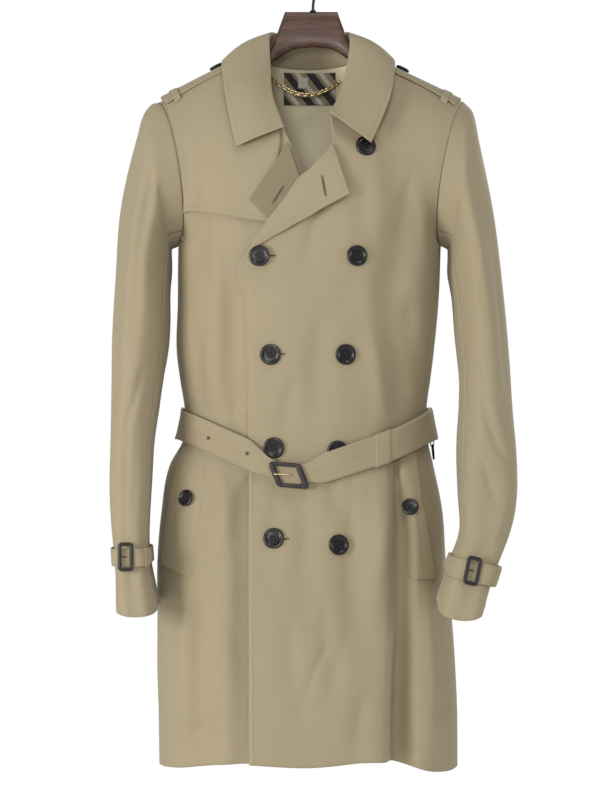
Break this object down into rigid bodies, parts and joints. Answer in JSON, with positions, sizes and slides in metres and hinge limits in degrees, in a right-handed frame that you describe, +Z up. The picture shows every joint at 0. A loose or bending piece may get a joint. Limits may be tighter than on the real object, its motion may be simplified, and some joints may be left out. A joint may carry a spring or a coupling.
{
  "type": "trench coat on a hanger",
  "caption": "Double-breasted belted trench coat with lapels, shoulder straps and cuff straps, hanging closed on a flat wooden hanger by its hook.",
  "frame": {"origin": "inside top of the hanger's hook, where it rests on its rail", "axes": "+Z up, -Y is the coat's front, +X is a viewer's right and the wearer's left"},
  "size_m": [0.5576, 0.2933, 1.1236],
  "materials": {
    "gabardine": "matt cotton gabardine",
    "lining": "smooth lining",
    "patch": "striped wool",
    "horn": "dark horn",
    "leather": "dark covered buckle",
    "wood": "dark stained and lacquered",
    "steel": "dark nickel",
    "brass": "polished"
  },
  "bodies": {
    "garment": {"left_front": "gabardine", "right_front": "gabardine", "right_back": "gabardine", "left_back": "gabardine", "right_sleeve_upper": "gabardine", "right_sleeve_under": "gabardine", "left_sleeve_upper": "gabardine", "left_sleeve_under": "gabardine", "storm_flap": "gabardine", "left_lapel": "gabardine", "right_lapel": "gabardine", "collar_fall": "gabardine", "collar_stand": "gabardine", "back_neck_lining": "lining", "neck_patch": "patch", "belt": "gabardine", "belt_buckle": "leather", "belt_prong": "steel", "belt_keeper": "gabardine", "left_belt_loop": "gabardine", "right_belt_loop": "gabardine", "button_0_left": "horn", "button_1_right": "horn", "button_1_left": "horn", "button_2_right": "horn", "button_2_left": "horn", "button_3_right": "horn", "button_3_left": "horn", "button_4_right": "horn", "button_4_left": "horn", "left_pocket_welt": "gabardine", "left_pocket_button": "horn", "right_pocket_welt": "gabardine", "right_pocket_button": "horn", "right_epaulette": "gabardine", "right_epaulette_button": "horn", "right_epaulette_carrier": "gabardine", "left_epaulette": "gabardine", "left_epaulette_button": "horn", "left_epaulette_carrier": "gabardine", "right_cuff_strap": "gabardine", "right_cuff_buckle": "leather", "right_cuff_loop": "gabardine", "left_cuff_strap": "gabardine", "left_cuff_buckle": "leather", "left_cuff_loop": "gabardine", "d_ring_tab": "gabardine", "neck_chain": "brass", "hanger": "wood", "hook": "steel"},
    "ring": {"d_ring": "steel"}
  },
  "joints": [
    {"name": "ring_swing", "type": "hinge", "parent": "garment", "child": "ring", "pos_m": [0.1686, 0.009, -0.6714], "axis": [0, 1, 0], "range_deg": [-90, 0]}
  ]
}
